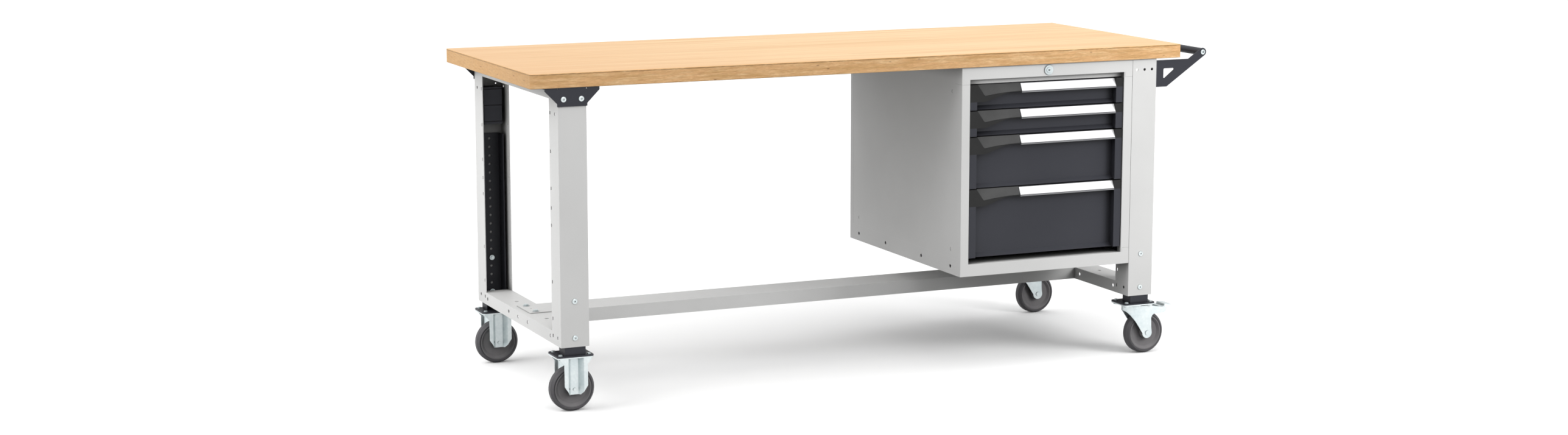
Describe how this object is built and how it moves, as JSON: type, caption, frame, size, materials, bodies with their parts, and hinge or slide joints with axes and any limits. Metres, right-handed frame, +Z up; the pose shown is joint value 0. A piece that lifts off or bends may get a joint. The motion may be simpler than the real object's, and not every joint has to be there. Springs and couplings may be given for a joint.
{
  "type": "mobile workbench with drawers",
  "caption": "Long mobile workbench with a thick timber top on steel channel legs, a lockable drawer cabinet under one end, a push handle and castors, part of them swivelling with brakes.",
  "frame": {"origin": "centre of the whole outline, push handle included, on the floor under the wheels", "axes": "+X along the bench towards the drawer cabinet and the push handle, +Y away from the user to the rear, +Z up"},
  "size_m": [2.0924, 0.75, 0.921],
  "materials": {
    "timber": "oiled multi-ply with a light beech face",
    "paint_light": "light grey powder coat, satin",
    "paint_dark": "dark grey powder coat, fine texture",
    "runner_steel": "rolled steel",
    "zinc": "bright zinc plate",
    "tread": "matt dark grey rubber",
    "wheel_grey": "moulded grey plastic",
    "grip_profile": "anodised extrusion",
    "label_white": "blank white strip under clear film",
    "cap_black": "moulded black plastic",
    "latch_grey": "moulded dark grey plastic"
  },
  "bodies": {
    "bench": {"worktop": "timber", "leg_front_left": "paint_light", "leg_rear_left": "paint_light", "leg_front_right": "paint_light", "leg_rear_right": "paint_light", "top_rails": "paint_light", "cross_rails": "paint_light", "stretcher": "paint_light", "cabinet_shell": "paint_light", "cabinet_base": "paint_light", "cabinet_back": "paint_light", "cabinet_frame": "paint_light", "leg_inserts": "paint_dark", "top_brackets": "paint_dark", "fixed_runners": "paint_dark", "handle_arms": "paint_dark", "handle_tube": "paint_dark", "lock_body": "zinc", "caster_bolts": "zinc", "frame_screws": "zinc", "fixed_casters": "zinc", "swivel_plates": "zinc"},
    "lock": {"lock_cylinder": "zinc", "lock_cam": "zinc"},
    "drawer_1_box": {"drawer_1": "paint_dark", "handle_1": "grip_profile", "label_1": "label_white", "end_caps_1": "cap_black"},
    "latch_1_lever": {"latch_1": "latch_grey"},
    "runner_1_middle": {"runner_1": "runner_steel"},
    "drawer_2_box": {"drawer_2": "paint_dark", "handle_2": "grip_profile", "label_2": "label_white", "end_caps_2": "cap_black"},
    "latch_2_lever": {"latch_2": "latch_grey"},
    "runner_2_middle": {"runner_2": "runner_steel"},
    "drawer_3_box": {"drawer_3": "paint_dark", "handle_3": "grip_profile", "label_3": "label_white", "end_caps_3": "cap_black"},
    "latch_3_lever": {"latch_3": "latch_grey"},
    "runner_3_middle": {"runner_3": "runner_steel"},
    "drawer_4_box": {"drawer_4": "paint_dark", "handle_4": "grip_profile", "label_4": "label_white", "end_caps_4": "cap_black"},
    "latch_4_lever": {"latch_4": "latch_grey"},
    "runner_4_middle": {"runner_4": "runner_steel"},
    "fork_front": {"swivel_fork_front": "zinc"},
    "pedal_front": {"brake_pedal_front": "zinc"},
    "wheel_front_left": {"tyre_front_left": "tread", "hub_front_left": "wheel_grey"},
    "wheel_front_right": {"tyre_front_right": "tread", "hub_front_right": "wheel_grey"},
    "fork_rear": {"swivel_fork_rear": "zinc"},
    "pedal_rear": {"brake_pedal_rear": "zinc"},
    "wheel_rear_left": {"tyre_rear_left": "tread", "hub_rear_left": "wheel_grey"},
    "wheel_rear_right": {"tyre_rear_right": "tread", "hub_rear_right": "wheel_grey"}
  },
  "joints": [
    {"name": "lock_turn", "type": "hinge", "parent": "bench", "child": "lock", "pos_m": [0.51515, -0.361, 0.8634], "axis": [0, 1, 0], "range_deg": [0, 90]},
    {"name": "drawer_1_slide", "type": "slide", "parent": "bench", "child": "drawer_1_box", "axis": [0, -1, 0], "range_m": [0, 0.6]},
    {"name": "runner_1_slide", "type": "slide", "parent": "bench", "child": "runner_1_middle", "axis": [0, -1, 0], "range_m": [0, 0.3]},
    {"name": "latch_1_tilt", "type": "hinge", "parent": "drawer_1_box", "child": "latch_1_lever", "pos_m": [0.36005, -0.3517, 0.828], "axis": [-1, 0, 0], "range_deg": [0, 12], "stiffness_Nm_per_rad": 0.15},
    {"name": "drawer_2_slide", "type": "slide", "parent": "bench", "child": "drawer_2_box", "axis": [0, -1, 0], "range_m": [0, 0.6]},
    {"name": "runner_2_slide", "type": "slide", "parent": "bench", "child": "runner_2_middle", "axis": [0, -1, 0], "range_m": [0, 0.3]},
    {"name": "latch_2_tilt", "type": "hinge", "parent": "drawer_2_box", "child": "latch_2_lever", "pos_m": [0.36005, -0.3517, 0.753], "axis": [-1, 0, 0], "range_deg": [0, 12], "stiffness_Nm_per_rad": 0.15},
    {"name": "drawer_3_slide", "type": "slide", "parent": "bench", "child": "drawer_3_box", "axis": [0, -1, 0], "range_m": [0, 0.6]},
    {"name": "runner_3_slide", "type": "slide", "parent": "bench", "child": "runner_3_middle", "axis": [0, -1, 0], "range_m": [0, 0.3]},
    {"name": "latch_3_tilt", "type": "hinge", "parent": "drawer_3_box", "child": "latch_3_lever", "pos_m": [0.36005, -0.3517, 0.678], "axis": [-1, 0, 0], "range_deg": [0, 12], "stiffness_Nm_per_rad": 0.15},
    {"name": "drawer_4_slide", "type": "slide", "parent": "bench", "child": "drawer_4_box", "axis": [0, -1, 0], "range_m": [0, 0.6]},
    {"name": "runner_4_slide", "type": "slide", "parent": "bench", "child": "runner_4_middle", "axis": [0, -1, 0], "range_m": [0, 0.3]},
    {"name": "latch_4_tilt", "type": "hinge", "parent": "drawer_4_box", "child": "latch_4_lever", "pos_m": [0.36005, -0.3517, 0.528], "axis": [-1, 0, 0], "range_deg": [0, 12], "stiffness_Nm_per_rad": 0.15},
    {"name": "fork_front_swivel", "type": "hinge", "parent": "bench", "child": "fork_front", "pos_m": [0.83615, -0.3325, 0.145], "axis": [0, 0, 1], "continuous": true},
    {"name": "wheel_front_right_spin", "type": "hinge", "parent": "fork_front", "child": "wheel_front_right", "pos_m": [0.87215, -0.3325, 0.0625], "axis": [0, 1, 0], "continuous": true},
    {"name": "pedal_front_tip", "type": "hinge", "parent": "fork_front", "child": "pedal_front", "pos_m": [0.91615, -0.3325, 0.127], "axis": [0, 1, 0], "range_deg": [0, 10]},
    {"name": "wheel_front_left_spin", "type": "hinge", "parent": "bench", "child": "wheel_front_left", "pos_m": [-0.92865, -0.3325, 0.0625], "axis": [0, 1, 0], "continuous": true},
    {"name": "fork_rear_swivel", "type": "hinge", "parent": "bench", "child": "fork_rear", "pos_m": [0.83615, 0.3225, 0.145], "axis": [0, 0, 1], "continuous": true},
    {"name": "wheel_rear_right_spin", "type": "hinge", "parent": "fork_rear", "child": "wheel_rear_right", "pos_m": [0.87215, 0.3225, 0.0625], "axis": [0, 1, 0], "continuous": true},
    {"name": "pedal_rear_tip", "type": "hinge", "parent": "fork_rear", "child": "pedal_rear", "pos_m": [0.91615, 0.3225, 0.127], "axis": [0, 1, 0], "range_deg": [0, 10]},
    {"name": "wheel_rear_left_spin", "type": "hinge", "parent": "bench", "child": "wheel_rear_left", "pos_m": [-0.92865, 0.3225, 0.0625], "axis": [0, 1, 0], "continuous": true}
  ],
  "couplings": [
    {"joint": "runner_1_slide", "follows": "drawer_1_slide", "ratio": 0.5},
    {"joint": "runner_2_slide", "follows": "drawer_2_slide", "ratio": 0.5},
    {"joint": "runner_3_slide", "follows": "drawer_3_slide", "ratio": 0.5},
    {"joint": "runner_4_slide", "follows": "drawer_4_slide", "ratio": 0.5}
  ]
}
